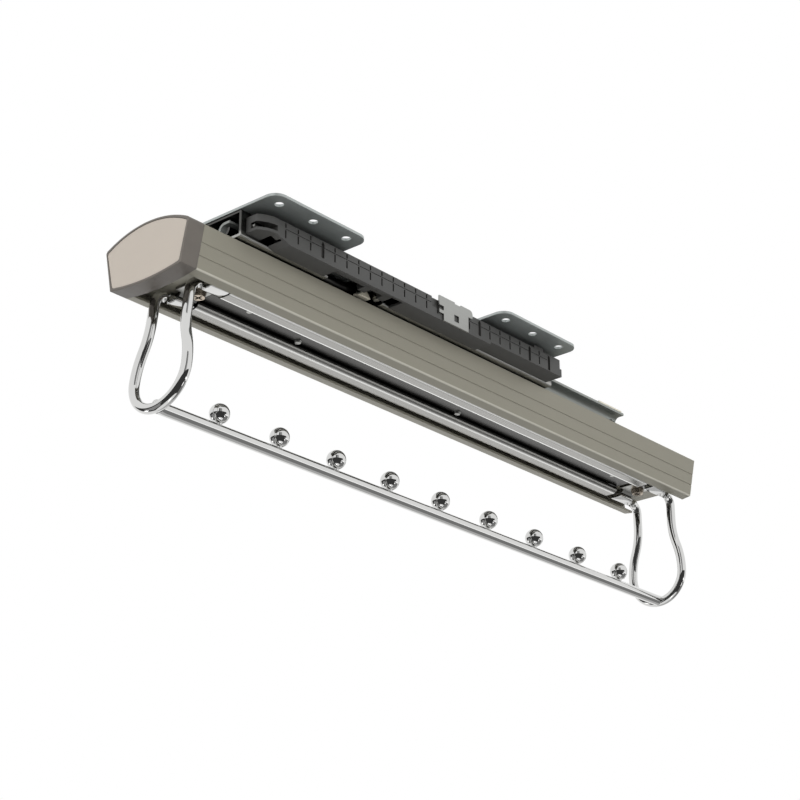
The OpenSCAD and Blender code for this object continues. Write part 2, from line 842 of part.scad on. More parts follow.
function leg_station(heel, down, normal, y, drop, dy, ddrop, r) =
    [heel + [0, y, 0] + drop * down, [0, dy, 0] + ddrop * down, normal, r, r, 1];

// Ring of points about a station; a squareness below 1 fills the corners
function section_ring(s) =
    let (v = s[2], u = cross(v, s[1]))
    [for (k = [0 : wire_sides - 1]) let (c = cos(360 * k / wire_sides), n = sin(360 * k / wire_sides))
        s[0] + s[3] * sign(c) * pow(abs(c), s[5]) * u + s[4] * sign(n) * pow(abs(n), s[5]) * v];

// One closed skin over rings of equal length
module skin(rings) {
    n = len(rings[0]);
    last = (len(rings) - 1) * n;
    polyhedron(
        points = [for (ring = rings, p = ring) p],
        faces = concat(
            [[for (k = [0 : n - 1]) k]],
            [for (i = [0 : len(rings) - 2], k = [0 : n - 1]) let (a = i * n + k, b = i * n + (k + 1) % n)
                [a, a + n, b + n]],
            [for (i = [0 : len(rings) - 2], k = [0 : n - 1]) let (a = i * n + k, b = i * n + (k + 1) % n)
                [a, b + n, b]],
            [[for (k = [n - 1 : -1 : 0]) last + k]]));
}

// A whole loop, whose flattened ends run along +X from the legs
module loop(lean) {
    half = [for (s = loop_stations(lean)) section_ring(s)];
    other = [for (i = [len(half) - 2 : -1 : 0]) [for (p = half[i]) [p[0], -p[1], p[2]]]];
    skin(concat(half, other));
}

module front_loop() {
    color(chrome) translate([front_leg_x, 0, wire_z]) loop(front_lean);
}

module rear_loop() {
    color(chrome) translate([rear_leg_x, 0, wire_z]) mirror([1, 0, 0]) loop(0);
}

// Hanging rod, hollowed at both ends to fit the loops that it is welded to
module hanging_rod() {
    cope_d = wire_d + 2 * weld_gap;
    cope_z = rod_z - rod_lift;
    color(chrome) difference() {
        translate([0, 0, rod_z]) rod_x(rod_d, front_rod_x, rear_leg_x);
        for (x = [front_rod_x, rear_leg_x])
            translate([x, 0, cope_z]) rod_y(cope_d, -rod_d, rod_d);
        for (x = spacer_places)
            translate([x, 0, rod_z + rod_d / 2 - stud_depth - fit_gap])
                cylinder(d = stud_d + 2 * shank_gap, h = stud_depth + rod_d);
    }
}

spacer_places = [for (i = [0 : spacer_count - 1])
    rod_mid + (i - (spacer_count - 1) / 2) * spacer_pitch];

// Balls on studs, which keep the hangers apart
module hook_spacers() {
    color(chrome) for (x = spacer_places) translate([x, 0, 0]) {
        translate([0, 0, spacer_z]) sphere(d = spacer_d);
        translate([0, 0, rod_z + rod_d / 2 - stud_depth])
            cylinder(d = stud_d, h = stud_depth + spacer_d / 2);
    }
}

// Arm under the moving rail's flange, with a fork that holds the striker's neck
module striker_arm() {
    color(zinc) on_left() difference() {
        span([striker_x - arm_length / 2, ball_row, arm_bottom],
             [striker_x + arm_length / 2, striker_out, flange_bottom]);
        translate([striker_x, striker_mid, arm_bottom - over])
            cylinder(d = striker_stem + 2 * fit_gap, h = arm_t + 2 * over);
        span([striker_x - striker_stem / 2, striker_mid, arm_bottom - over],
             [striker_x + striker_stem / 2, striker_out + over, flange_bottom + over]);
    }
}

// Bell-shaped striker that the catch grips
module striker() {
    half = striker_width / 2;
    top = arm_bottom - fit_gap;
    height = top - striker_bottom;
    color(cream) on_left() {
        translate([striker_x, striker_out, 0]) rotate([90, 0, 0]) linear_extrude(striker_t) both_halves()
            polygon([for (p = striker_shares) [half * p[0], striker_bottom + height * p[1]]]);
        translate([striker_x, striker_mid, top])
            cylinder(d = striker_stem, h = flange_bottom + fit_gap - top);
        translate([striker_x, striker_mid, flange_bottom + fit_gap])
            cylinder(d = striker_head_d, h = striker_head_h);
    }
}

// Soft-close case
case_rivet_places = [
    case_front - nose_rivet,
    post_x + 2 * case_post_d,
    case_rear - tail_length - case_post_d
];

module case_shell() {
    span([case_front, case_in, case_bottom], [case_step_x, case_out, case_top]);
    span([case_step_x - over, case_in, case_rear_bottom], [case_rear - tail_step, case_out, case_top]);
    span([case_rear - tail_step - over, case_in, case_rear_bottom],
         [case_rear, case_out, case_top - tail_drop]);
    for (level = nose_levels) intersection() {
        translate([case_front, case_out - nose_r, level[0]]) cylinder(r = nose_r, h = level[1]);
        span([case_front - nose_length, case_in, case_bottom], [case_front + over, case_out, case_top]);
    }
    span([case_front - nose_length, case_in, case_bottom + case_chamfer_z],
         [case_front, case_in + neck_depth, case_top]);
    span([lug_x, case_out - lug_t, case_top], [lug_x + lug_length, case_out, case_top + lug_h]);
}

// A groove in the case's outer face, by its middle, its width and its depth
module panel_cut(x, width, depth, low, high) {
    span([x - width / 2, case_out - depth, low], [x + width / 2, case_out + over, high]);
}

module soft_close_case() {
    cavity_top = case_top - case_wall;
    cavity_bottom = case_bottom + case_wall;
    cavity_rear = case_rear - tail_length - case_wall;
    columns = [for (i = [first_column : last_column]) case_front + panel_column + i * panel_pitch];
    color(dark_plastic) on_left() {
        difference() {
            case_shell();
            span([case_front - over, case_in - over, cavity_bottom],
                 [case_front + nose_wall, case_out - nose_wall, cavity_top]);
            span([case_front + nose_wall - over, case_in - over, cavity_bottom],
                 [case_step_x - case_wall, case_out - case_wall, cavity_top]);
            span([case_step_x - case_wall - over, case_in - over, case_rear_bottom + case_wall],
                 [cavity_rear, case_out - case_wall, cavity_top]);
            translate([case_rivet_places[0], case_in + neck_depth, case_rivet_z])
                rod_y(case_rivet_head_d + 2 * fit_gap, 0, case_rivet_head_h + 2 * fit_gap);
            span([case_front - nose_length - over, case_in + neck_depth, case_bottom + shelf_lift + shelf_h],
                 [case_front + over, case_out - nose_wall, case_top - nose_h]);
            span([case_window_front, case_in - over, case_bottom - over],
                 [case_window_rear, catch_out + fit_gap, cavity_bottom + over]);
            span([clip_front - clip_recess, case_out - slot_depth, case_top - clip_recess_h],
                 [clip_front - clip_ear + clip_t, case_out + over, case_top + over]);
            translate([case_front, case_in - over, case_bottom]) rotate([-90, 0, 0])
                linear_extrude(case_depth + 2 * over)
                    polygon([[-over, over], [case_chamfer_x, over], [case_chamfer_x, 0],
                             [0, -case_chamfer_z], [-over, -case_chamfer_z]]);
            for (x = columns, row = panel_rows)
                panel_cut(x, panel_groove, panel_depth, case_top - row[1], case_top - row[0]);
            for (i = slot_columns)
                panel_cut(columns[i - first_column], slot_width, slot_depth,
                          case_bottom + slot_lift, case_top - slot_drop);
            span([columns[0], case_out - panel_line, case_top - panel_line_drop - panel_line / 2],
                 [case_rear - tail_length, case_out + over, case_top - panel_line_drop + panel_line / 2]);
            for (x = case_rivet_places) translate([x, 0, case_rivet_z])
                rod_y(case_rivet_d + 2 * shank_gap, case_in - over, case_in + neck_depth + over);
        }
        for (x = [case_rivet_places[1], case_rivet_places[2]]) translate([x, 0, case_rivet_z])
            difference() {
                union() {
                    rod_y(case_post_d, case_in, case_in + neck_depth);
                    span([-case_post_d / 2, case_in, 0],
                         [case_post_d / 2, case_in + neck_depth, cavity_top - case_rivet_z]);
                }
                rod_y(case_rivet_d + 2 * shank_gap, case_in - over, case_in + neck_depth + over);
            }
        difference() {
            span([anchor_x, case_in, cavity_bottom],
                 [anchor_x + anchor_t, case_out - case_wall, cavity_top]);
            translate([0, damper_y, damper_z])
                rod_x(damper_rod_d + 2 * shank_gap, anchor_x - over, anchor_x + anchor_t + over);
        }
        translate([post_x, damper_y, cavity_bottom]) cylinder(d = post_d, h = cavity_top - cavity_bottom);
    }
}

// Rivets that hold the case against the fixed rail's wall
module case_rivets() {
    color(zinc) on_left() for (x = case_rivet_places) translate([x, 0, case_rivet_z]) {
        rod_y(case_rivet_d, rail_half - sheet_t, case_in + neck_depth);
        translate([0, case_in + neck_depth, 0]) rod_y(case_rivet_head_d, 0, case_rivet_head_h);
        translate([0, rail_half - sheet_t, 0])
            rod_y(case_rivet_d * case_rivet_tail_share, -case_rivet_tail_h, 0);
    }
}

// Clip over the case: a cross-shaped face with a square hole, and a leg above the case
module retaining_clip() {
    low = case_bottom;
    high = case_top + clip_rise;
    rear = clip_front + clip_width;
    ear = clip_front - clip_ear;
    tab_z = high - clip_tab_top;
    hole_x = clip_front + clip_width * clip_hole_share;
    notch_front = clip_front + clip_width * clip_notch_share;
    notch_rear = clip_front + clip_width * clip_notch_end_share;
    color(zinc) on_left() {
        difference() {
            translate([0, case_out + clip_t, 0]) rotate([90, 0, 0]) linear_extrude(clip_t) polygon(rounded([
                [clip_front, low, 0], [rear, low, 0], [rear, high - clip_rear_ear_h, 0],
                [rear + clip_ear, high - clip_rear_ear_h, clip_t],
                [rear + clip_ear, high, clip_corner_r],
                [notch_rear, high, 0], [notch_rear, high - clip_t, 0],
                [notch_front, high - clip_t, 0], [notch_front, high, 0],
                [ear, high, 0], [ear, high - clip_ear_h, 0], [clip_front, high - clip_ear_h, 0],
                [clip_front, tab_z, 0], [ear, tab_z, 0], [ear, tab_z - clip_tab_h, 0],
                [clip_front, tab_z - clip_tab_h, 0]
            ]));
            span([hole_x, case_out - over, low + clip_hole_lift],
                 [hole_x + clip_hole, case_out + 2 * over, low + clip_hole_lift + clip_hole]);
        }
        span([clip_front + clip_ear, case_in, high - 2 * clip_t],
             [rear - clip_ear, case_out + clip_t / 2, high - clip_t]);
    }
}

// Rod of the damper, held in the case's anchor wall
module damper_rod() {
    color(chrome) on_left() translate([0, damper_y, damper_z]) {
        rod_x(damper_rod_d, anchor_x - fit_gap, damper_front + rod_engaged);
        rod_x(rod_head_d, anchor_x - fit_gap - rod_head_t, anchor_x - fit_gap);
    }
}

module damper_cylinder() {
    color(dark_plastic) on_left() translate([0, damper_y, damper_z]) difference() {
        rod_x(damper_d, damper_front, damper_rear);
        rod_x(damper_bore, damper_front - over, damper_front + rod_engaged + catch_travel + fit_gap);
    }
}

// Tension spring, drawn as the tube of its windings, with a tail across the end to the post
module catch_spring() {
    rear = spring_front + spring_length;
    color(zinc) on_left() translate([0, damper_y, damper_z]) {
        difference() {
            rod_x(spring_d, spring_front, rear);
            rod_x(spring_d - 2 * spring_wire, spring_front - over, rear + over);
        }
        span([rear - spring_wire, -spring_d / 2 + spring_wire / 2, -spring_wire / 2],
             [rear, spring_d / 2 - spring_wire / 2, spring_wire / 2]);
        rod_x(spring_wire, rear - spring_wire / 2, post_x - post_d / 2 - fit_gap);
    }
}

// Slider in the case, and the steel fork on it that grips the striker
module catch_slider() {
    color(dark_plastic) on_left() difference() {
        span([striker_x - catch_half, catch_in, catch_bottom],
             [striker_x + catch_half, catch_out, catch_top]);
        span([striker_x - striker_width / 2, catch_in - over, catch_bottom - over],
             [striker_x + striker_width / 2, catch_mid, catch_top - case_wall]);
    }
}

module catch_fork() {
    front = striker_x - striker_width / 2 - prong_gap;
    rear = striker_x + striker_width / 2 + prong_gap;
    high = catch_top;
    bend = fork_width / 2;
    color(zinc) on_left() {
        span([front - fork_t, prong_in, catch_bottom], [front, catch_in, high]);
        translate([0, catch_in, 0]) rotate([90, 0, 0]) linear_extrude(catch_in - prong_in) polygon(rounded([
            [rear, high, 0], [rear, catch_bottom, bend - fit_gap],
            [rear + fork_width, catch_bottom, bend - fit_gap], [rear + fork_width, high, 0],
            [rear + fork_width - fork_t, high, 0],
            [rear + fork_width - fork_t, catch_bottom + fork_t, bend - fit_gap - fork_t],
            [rear + fork_t, catch_bottom + fork_t, bend - fit_gap - fork_t], [rear + fork_t, high, 0]
        ]));
    }
}

front_plate();
rear_plate();
plate_rivets();
fixed_rail();
soft_close_case();
case_rivets();
retaining_clip();
damper_rod();
catch_spring();
left_cage();
right_cage();
left_balls();
right_balls();
moving_rail();
guide_pads();
housing();
front_cap();
cap_plate();
carrier_channel();
channel_rivets();
front_saddle();
rear_saddle();
saddle_screws();
saddle_nuts();
front_loop();
rear_loop();
hanging_rod();
hook_spacers();
striker_arm();
striker();
catch_slider();
catch_fork();
damper_cylinder();
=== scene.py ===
"""Looks for the pull-out clothes rail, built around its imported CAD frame.

The CAD nodes keep their shapes and get materials. Smooth wire loops, a rod with welded ends
and a wound spring replace their plainer CAD nodes. Those shapes are in millimetres, and the
lamps and the studio are in metres.
"""

import math

import bpy
from mathutils import Matrix, Vector


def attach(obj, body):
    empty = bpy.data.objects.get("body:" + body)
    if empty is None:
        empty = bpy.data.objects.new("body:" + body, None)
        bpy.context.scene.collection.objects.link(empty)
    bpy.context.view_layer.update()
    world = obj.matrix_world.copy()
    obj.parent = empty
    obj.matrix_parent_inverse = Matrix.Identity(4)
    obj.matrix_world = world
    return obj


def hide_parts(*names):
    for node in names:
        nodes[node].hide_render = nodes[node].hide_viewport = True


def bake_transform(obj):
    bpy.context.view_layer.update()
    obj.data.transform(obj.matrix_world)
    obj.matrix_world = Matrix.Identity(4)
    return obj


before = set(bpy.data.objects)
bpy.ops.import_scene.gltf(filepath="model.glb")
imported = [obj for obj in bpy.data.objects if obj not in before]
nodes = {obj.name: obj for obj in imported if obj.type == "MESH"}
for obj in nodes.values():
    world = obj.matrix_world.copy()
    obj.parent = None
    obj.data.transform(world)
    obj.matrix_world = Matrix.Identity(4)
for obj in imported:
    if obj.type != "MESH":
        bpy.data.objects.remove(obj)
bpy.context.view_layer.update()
MM = 0.001


# Camera: the photograph's place and direction, in the row frame
CAMERA_PLACE = Vector((-664.1, -686.0, -483.7)) * MM
CAMERA_RIGHT = Vector((0.65569, -0.75503, -0.00353))
CAMERA_UP = Vector((-0.28875, -0.25507, 0.92280))
CAMERA_LENS = 90.25
SENSOR_WIDTH = 36.0
CLIP_START = 0.01
CLIP_END = 100


def add_camera():
    data = bpy.data.cameras.new("camera")
    data.lens = CAMERA_LENS
    data.sensor_width = SENSOR_WIDTH
    data.clip_start = CLIP_START
    data.clip_end = CLIP_END
    camera = bpy.data.objects.new("camera", data)
    bpy.context.scene.collection.objects.link(camera)
    back = CAMERA_RIGHT.cross(CAMERA_UP)
    turn = Matrix((CAMERA_RIGHT, CAMERA_UP, back)).transposed().to_4x4()
    camera.matrix_world = Matrix.Translation(CAMERA_PLACE) @ turn
    bpy.context.scene.camera = camera


# Node helpers
MIX_SHARE, MIX_A, MIX_B, MIX_RESULT = 0, 6, 7, 2  # the colour sockets of a Mix node
BEVEL_SAMPLES = 6
OPEN_SAMPLES = 8
FLAT_COSINE, EDGE_COSINE = 0.995, 0.86  # between the rounded normal and the flat one


class Graph:
    """Adds nodes to a node tree and links them."""

    def __init__(self, tree):
        self.tree = tree
        tree.nodes.clear()

    def feed(self, node, inputs):
        """Links each input to a socket, or sets the input's own value."""
        for key, value in inputs.items():
            if isinstance(value, bpy.types.NodeSocket):
                self.tree.links.new(value, node.inputs[key])
            else:
                node.inputs[key].default_value = value

    def add(self, kind, inputs=None, **settings):
        node = self.tree.nodes.new(kind)
        for name, value in settings.items():
            setattr(node, name, value)
        self.feed(node, inputs or {})
        return node

    def math(self, operation, a, b=0.0):
        return self.add("ShaderNodeMath", {0: a, 1: b}, operation=operation).outputs[0]

    def coords(self):
        """Object coordinates in metres."""
        return self.add("ShaderNodeTexCoord").outputs["Object"]

    def axis(self, name):
        return self.add("ShaderNodeSeparateXYZ", {"Vector": self.coords()}).outputs[name]

    def noise(self, scale, size=1.0, detail=3.0):
        """Noise over object coordinates, with a scale for each axis."""
        place = self.add("ShaderNodeMapping", {"Vector": self.coords(), "Scale": scale})
        inputs = {
            "Vector": place.outputs[0],
            "Scale": size,
            "Detail": detail,
            "Roughness": 0.55,
        }
        return self.add("ShaderNodeTexNoise", inputs).outputs["Fac"]

    def span(self, value, low, high, out_low, out_high):
        inputs = {
            "Value": value,
            "From Min": low,
            "From Max": high,
            "To Min": out_low,
            "To Max": out_high,
        }
        return self.add("ShaderNodeMapRange", inputs).outputs[0]

    def mix(self, share, a, b):
        inputs = {MIX_SHARE: share, MIX_A: a, MIX_B: b}
        return self.add("ShaderNodeMix", inputs, data_type="RGBA").outputs[MIX_RESULT]

    def rounded(self, radius):
        node = self.add("ShaderNodeBevel", {"Radius": radius}, samples=BEVEL_SAMPLES)
        return node.outputs[0]

    def bump(self, height, distance, strength, normal):
        inputs = {
            "Height": height,
            "Distance": distance,
            "Strength": strength,
            "Normal": normal,
        }
        return self.add("ShaderNodeBump", inputs).outputs[0]

    def edges(self, rounded_normal):
        """1 along edges, where the rounded normal leaves the flat one, and 0 on flats."""
        flat = self.add("ShaderNodeNewGeometry").outputs["Normal"]
        inputs = {0: rounded_normal, 1: flat}
        dot = self.add("ShaderNodeVectorMath", inputs, operation="DOT_PRODUCT")
        return self.span(dot.outputs["Value"], FLAT_COSINE, EDGE_COSINE, 0.0, 1.0)

    def open_share(self, distance, low, high):
        """0 in deep corners and under other pieces, 1 in the open."""
        inputs = {"Distance": distance}
        open_air = self.add("ShaderNodeAmbientOcclusion", inputs, samples=OPEN_SAMPLES)
        return self.span(open_air.outputs["AO"], low, high, 0.0, 1.0)


def colour(r, g, b):
    return (r, g, b, 1.0)


def shade(rgb, share):
    return colour(*(c * share for c in rgb))


def new_material(name):
    made = bpy.data.materials.new(name)
    made.use_nodes = True
    return made, Graph(made.node_tree)


def material(name, build):
    """A material whose shader inputs come from build(graph)."""
    made, graph = new_material(name)
    shader = graph.add("ShaderNodeBsdfPrincipled")
    graph.add("ShaderNodeOutputMaterial", {"Surface": shader.outputs[0]})
    graph.feed(shader, build(graph))
    return made


# Materials
STREAK_SCALE = (22, 2200, 2200)  # long along the rail, fine across it
EVEN_SCALE = (1, 1, 1)
# The colour of painted shade, in recesses and deep inside channels
PAINTED_SHADE = (0.012, 0.011, 0.010)
WHITE = colour(1, 1, 1)
CORE = (0.35, 0.65)  # the part of a noise's range that holds most of its values
BODY = (0.3, 0.7)  # the same, a little wider
EDGE_HIGHLIGHT = 1.7  # how much lighter the full painted highlight makes an edge
SHEET_EDGE = 0.3 * MM
MOULDED_EDGE = 0.4 * MM
PAINTED_EDGE = 0.25 * MM


def base_with_painted_light(graph, rgb, tone, streak, normal, edge_highlight, recess_shade):
    """Base colour: a tone from pale to dark, a painted highlight along edges, and painted shade
    in recesses.

    The edge share is how much of the painted edge highlight edges get. The recess shade gives a
    distance, the openness below which a place is painted dark and above which it is plain, and
    the share of its colour that a shaded place keeps.
    """
    base = graph.mix(tone, shade(rgb, 1 - streak), shade(rgb, 1 + streak))
    edge = graph.math("MULTIPLY", graph.edges(normal), edge_highlight)
    base = graph.mix(edge, base, shade(rgb, EDGE_HIGHLIGHT))
    distance, low, high, left = recess_shade
    cover = graph.open_share(distance, low, high)
    dark = graph.mix(left, colour(*PAINTED_SHADE), base)
    return graph.mix(cover, dark, base)


def rolled_metal(
    rgb, metallic, rough, streak=0.08, edge_highlight=0.3, recess_shade=(10 * MM, 0.25, 0.8, 0.12), finish=None
):
    """Sheet or extrusion with fine streaks along the rail, slow stains, rounded edges with a
    painted highlight, and painted shade in recesses.
    """

    def build(graph):
        streaks = graph.noise(STREAK_SCALE, 1.0, 4.0)
        stains = graph.noise(EVEN_SCALE, 45.0, 3.0)
        both = graph.math(
            "ADD", graph.math("MULTIPLY", streaks, 0.6), graph.math("MULTIPLY", stains, 0.4)
        )
        tone = graph.span(both, *CORE, 0.0, 1.0)
        normal = graph.rounded(SHEET_EDGE)
        base = base_with_painted_light(graph, rgb, tone, streak, normal, edge_highlight, recess_shade)
        if finish:
            base = finish(graph, base)
        return {
            "Base Color": base,
            "Metallic": metallic,
            "Roughness": graph.span(both, *CORE, rough * 0.85, rough * 1.15),
            "Normal": graph.bump(streaks, 0.01 * MM, 0.25, normal),
        }

    return build


def painted_shade_above(height, run, share):
    """Painted shade: darkens a piece above a height, as deep inside a channel that faces down."""

    def finish(graph, base):
        rise = graph.span(graph.axis("Z"), height, height + run, 0.0, 1.0)
        deep = graph.mix(share, base, colour(*PAINTED_SHADE))
        return graph.mix(rise, base, deep)

    return finish


def painted_highlight_line(y, z, reach, lift):
    """A painted highlight along a bend: a lighter colour within reach of a place across the rail.
    """

    def finish(graph, base):
        off_y = graph.math("SUBTRACT", graph.math("ABSOLUTE", graph.axis("Y")), y)
        off_z = graph.math("SUBTRACT", graph.axis("Z"), z)
        squares = graph.math(
            "ADD", graph.math("MULTIPLY", off_y, off_y), graph.math("MULTIPLY", off_z, off_z)
        )
        near = graph.span(graph.math("SQRT", squares), reach * 0.5, reach, 1.0, 0.0)
        return graph.mix(near, base, colour(*lift))

    return finish


def in_turn(*finishes):
    """Several finishes as one."""

    def finish(graph, base):
        for step in finishes:
            base = step(graph, base)
        return base

    return finish


def polished_metal(rgb, rough):
    """Chrome: mirror bright, with a trace of handling haze."""

    def build(graph):
        haze = graph.noise(EVEN_SCALE, 70.0, 4.0)
        return {
            "Base Color": graph.mix(haze, shade(rgb, 0.95), shade(rgb, 1.03)),
            "Metallic": 1.0,
            "Roughness": graph.span(haze, *BODY, rough * 0.6, rough * 1.5),
        }

    return build


def moulded_plastic(rgb, rough, recess_shade=(6 * MM, 0.25, 0.75, 0.2)):
    """Moulded plastic with a fine spark-eroded grain, a painted highlight along edges, and
    painted shade in recesses.
    """

    def build(graph):
        fine = graph.noise(EVEN_SCALE, 900.0, 2.0)
        slow = graph.noise(EVEN_SCALE, 60.0, 3.0)
        tone = graph.span(slow, *CORE, 0.0, 1.0)
        normal = graph.rounded(MOULDED_EDGE)
        return {
            "Base Color": base_with_painted_light(graph, rgb, tone, 0.08, normal, 0.35, recess_shade),
            "Roughness": graph.span(slow, *BODY, rough * 0.85, rough * 1.12),
            "Normal": graph.bump(fine, 0.03 * MM, 0.4, normal),
        }

    return build


def satin_paint(rgb, rough):
    """Paint with a slight orange peel under a thin satin coat."""

    def build(graph):
        peel = graph.noise(EVEN_SCALE, 700.0, 2.0)
        slow = graph.noise(EVEN_SCALE, 35.0, 2.0)
        return {
            "Base Color": graph.mix(slow, shade(rgb, 0.97), shade(rgb, 1.03)),
            "Metallic": 0.1,
            "Roughness": graph.span(peel, *BODY, rough * 0.9, rough * 1.1),
            "Normal": graph.bump(peel, 0.01 * MM, 0.3, graph.rounded(PAINTED_EDGE)),
            "Coat Weight": 0.15,
            "Coat Roughness": 0.25,
        }

    return build


# Heights and places of the CAD sections that the painted shade and the painted highlight lines
# follow
CHANNEL_MOUTH = -38.4 * MM
CHANNEL_LIP_Z = -39.7 * MM
CHANNEL_LIP_OUTER = 16.6 * MM
CHANNEL_LIP_INNER = 9.4 * MM
RAIL_MOUTH = -15.2 * MM
HOUSING_CORNER = (26.0 * MM, -40.4 * MM)
# Colours of the painted highlight lines along the channel's lips and the housing's lower corner
LIP_PAINTED_HIGHLIGHT = (0.95, 0.95, 0.93)
CORNER_PAINTED_HIGHLIGHT = (0.50, 0.485, 0.42)

ZINC = material("bright_zinc", rolled_metal((0.45, 0.45, 0.43), 1.0, 0.30))
# Painted shade inside the channel above its mouth, and painted highlight lines along its two lips
CHANNEL_ZINC = material("channel_zinc", rolled_metal(
    (0.38, 0.375, 0.358), 1.0, 0.26,
    finish=in_turn(
        painted_shade_above(CHANNEL_MOUTH, 2.0 * MM, 0.83),
        painted_highlight_line(CHANNEL_LIP_OUTER, CHANNEL_LIP_Z, 1.1 * MM, LIP_PAINTED_HIGHLIGHT),
        painted_highlight_line(CHANNEL_LIP_INNER, CHANNEL_LIP_Z, 0.9 * MM, LIP_PAINTED_HIGHLIGHT),
    ),
))
# Painted shade on the fixed rail above its mouth
RAIL_ZINC = material("rail_zinc", rolled_metal(
    (0.42, 0.42, 0.40), 1.0, 0.30,
    finish=painted_shade_above(RAIL_MOUTH, 2.0 * MM, 0.8),
))
OPEN_ZINC = material("open_zinc", rolled_metal(
    (0.27, 0.285, 0.27), 0.55, 0.36,
    recess_shade=(3 * MM, 0.05, 0.4, 0.7),
))
CLIP_ZINC = material("clip_zinc", rolled_metal(
    (0.37, 0.375, 0.36), 1.0, 0.32,
    recess_shade=(2 * MM, 0.1, 0.5, 0.4),
))
PLATE_ZINC = material("plate_zinc", rolled_metal(
    (0.40, 0.43, 0.42), 0.75, 0.36,
    edge_highlight=0.25,
    recess_shade=(3 * MM, 0.1, 0.5, 0.5),
))
# Painted highlight line along the housing's lower corner
ANODISED = material("anodised", rolled_metal(
    (0.25, 0.238, 0.193), 0.35, 0.42,
    streak=0.035,
    recess_shade=(1.5 * MM, 0.2, 0.6, 0.35),
    finish=painted_highlight_line(*HOUSING_CORNER, 0.9 * MM, CORNER_PAINTED_HIGHLIGHT),
))
CHROME = material("chrome", polished_metal((0.66, 0.66, 0.65), 0.05))
BALL_STEEL = material("ball_steel", polished_metal((0.60, 0.60, 0.60), 0.08))
YELLOW_ZINC = material("yellow_zinc", rolled_metal((0.55, 0.47, 0.38), 1.0, 0.28))
# Its painted shade reaches far, and darkens the case's underside over the housing
CASE_PLASTIC = material("case_plastic", moulded_plastic(
    (0.052, 0.052, 0.050), 0.5,
    recess_shade=(14 * MM, 0.3, 0.9, 0.15),
))
CAP_PLASTIC = material("cap_plastic", moulded_plastic((0.113, 0.101, 0.088), 0.45))
CREAM_PLASTIC = material("cream_plastic", moulded_plastic((0.70, 0.66, 0.54), 0.4))
CAP_FACE = material("cap_face", satin_paint((0.425, 0.378, 0.327), 0.4))

FINISHES = {
    PLATE_ZINC: ["front_plate", "rear_plate"],
    ZINC: [
        "plate_rivets", "case_rivets", "catch_spring", "channel_rivets", "front_saddle",
        "rear_saddle", "saddle_nuts", "striker_arm", "catch_fork",
    ],
    CHANNEL_ZINC: ["carrier_channel"],
    RAIL_ZINC: ["fixed_rail"],
    OPEN_ZINC: ["moving_rail"],
    CLIP_ZINC: ["retaining_clip"],
    ANODISED: ["housing"],
    CHROME: ["damper_rod", "front_loop", "rear_loop", "hanging_rod", "hook_spacers"],
    BALL_STEEL: ["left_balls", "right_balls"],
    YELLOW_ZINC: ["left_cage", "right_cage", "saddle_screws"],
    CASE_PLASTIC: ["soft_close_case", "catch_slider", "damper_cylinder"],
    CAP_PLASTIC: ["front_cap"],
    CREAM_PLASTIC: ["guide_pads", "striker"],
    CAP_FACE: ["cap_plate"],
}


def dress_nodes():
    """Gives every CAD node its material."""
    for finish, names in FINISHES.items():
        for name in names:
            slots = nodes[name].material_slots
            for slot in slots:
                slot.material = finish
            if not slots:
                nodes[name].data.materials.append(finish)


# Pieces
def sweep(stations, sides):
    """Rings of points, one for each station.

    A station is a centre, direction and normal, then half width, half height and squareness.
    """
    rings = []
    for centre, direction, normal, wide, high, square in stations:
        across = normal.cross(direction).normalized()
        ring = []
        for k in range(sides):
            turn = math.tau * k / sides
            c, s = math.cos(turn), math.sin(turn)
            ring.append(
                centre
                + across * wide * math.copysign(abs(c) ** square, c)
                + normal * high * math.copysign(abs(s) ** square, s)
            )
        rings.append(ring)
    return rings


def skin(name, rings, finish):
    """One closed smooth mesh over rings of equal length, with a fan over each end."""
    sides = len(rings[0])
    points = [p for ring in rings for p in ring]
    faces = []
    for i in range(len(rings) - 1):
        for k in range(sides):
            a, b = i * sides + k, i * sides + (k + 1) % sides
            faces.append((a, b, b + sides, a + sides))
    for ring, start in ((rings[0], 0), (rings[-1], (len(rings) - 1) * sides)):
        points.append(sum(ring, Vector()) / sides)
        hub = len(points) - 1
        for k in range(sides):
            a, b = start + k, start + (k + 1) % sides
            faces.append((hub, b, a) if start == 0 else (hub, a, b))
    mesh = bpy.data.meshes.new(name)
    mesh.from_pydata([p * MM for p in points], [], faces)
    mesh.update()
    mesh.shade_smooth()
    mesh.materials.append(finish)
    piece = bpy.data.objects.new(name, mesh)
    bpy.context.scene.collection.objects.link(piece)
    return piece


# Wire loops, in millimetres, with the sizes of the CAD sweep
WIRE_R = 2.8
LEG_HALF = 13.0  # the legs' distance from the middle
LOOP_R = 18.8  # the round bottom
FLARE = 34.0  # the height over which the legs spread to the bottom's width
STRAIGHT = 9.6  # the straight top of a leg
LOOP_DROP = 62.4  # straight, flare and bottom together
BEND_R = 6.8  # from the leg into the flattened end
LEG_REACH = 18.0  # from the leg to the middle of its saddle
SADDLE_HALF = 6.0
PADDLE = (4.2, 1.2, 0.5)  # the flattened end's half width, half thickness and squareness
FIT_GAP = 0.3
END_ROUNDING = ((0.0, 0.5), (0.12, 0.25), (0.5, 0.0))  # inset along the end, and less width
WIRE_Z = -38.5
FRONT_LEG_X = -47.5
REAR_LEG_X = 381.5
FRONT_LEAN = math.radians(7.2)
FLARE_ANGLE = 2 * math.atan((LOOP_R - LEG_HALF) / FLARE)
FLARE_R = FLARE / 2 / math.sin(FLARE_ANGLE)
NECK_STEPS, BEND_STEPS, FLARE_STEPS, BOTTOM_STEPS = 8, 16, 14, 28
WIRE_SIDES = 40
FORWARD, SIDEWAYS, UP = Vector((-1, 0, 0)), Vector((0, 1, 0)), Vector((0, 0, 1))


